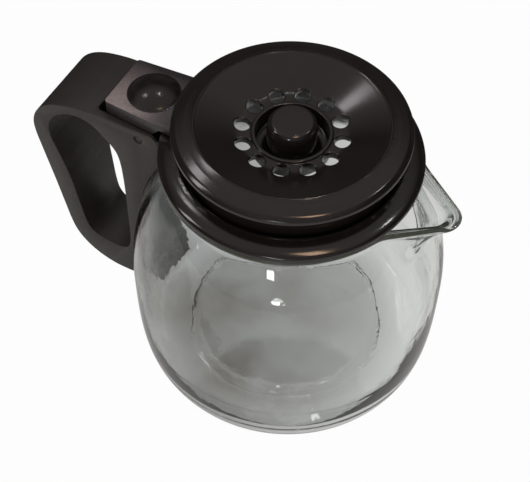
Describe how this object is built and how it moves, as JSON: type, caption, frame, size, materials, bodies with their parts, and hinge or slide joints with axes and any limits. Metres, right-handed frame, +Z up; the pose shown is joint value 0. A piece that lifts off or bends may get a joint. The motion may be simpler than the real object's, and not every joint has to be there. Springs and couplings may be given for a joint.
{
  "type": "coffee server carafe",
  "caption": "Glass coffee carafe with a pulled pouring lip, black collar and closed side handle, and a hinged brew-through lid raised by a thumb lever.",
  "frame": {"origin": "centre of the flat foot of the glass bowl, on the surface the carafe stands on", "axes": "+X from the handle towards the pouring lip, +Y to the left of someone who looks along +X, +Z up"},
  "size_m": [0.2087, 0.1502, 0.1514],
  "materials": {
    "clear_glass": "clear, fire-polished",
    "gloss_black": "glossy, very dark brown-black",
    "satin_black": "satin, very dark grey-black",
    "silicone": "matt",
    "steel": "plain"
  },
  "bodies": {
    "carafe": {"glass_bowl": "clear_glass", "rim_seal": "silicone", "collar": "gloss_black", "handle": "satin_black", "handle_screws": "steel", "hinge_pin": "steel"},
    "lid": {"lid_plate": "gloss_black", "lid_skirt": "gloss_black", "knob": "gloss_black", "thumb_lever": "satin_black", "lever_screws": "steel", "thumb_dome": "gloss_black"}
  },
  "joints": [
    {"name": "lid_hinge", "type": "hinge", "parent": "carafe", "child": "lid", "pos_m": [-0.0681, 0, 0.1215], "axis": [0, -1, 0], "range_deg": [0, 34]}
  ]
}
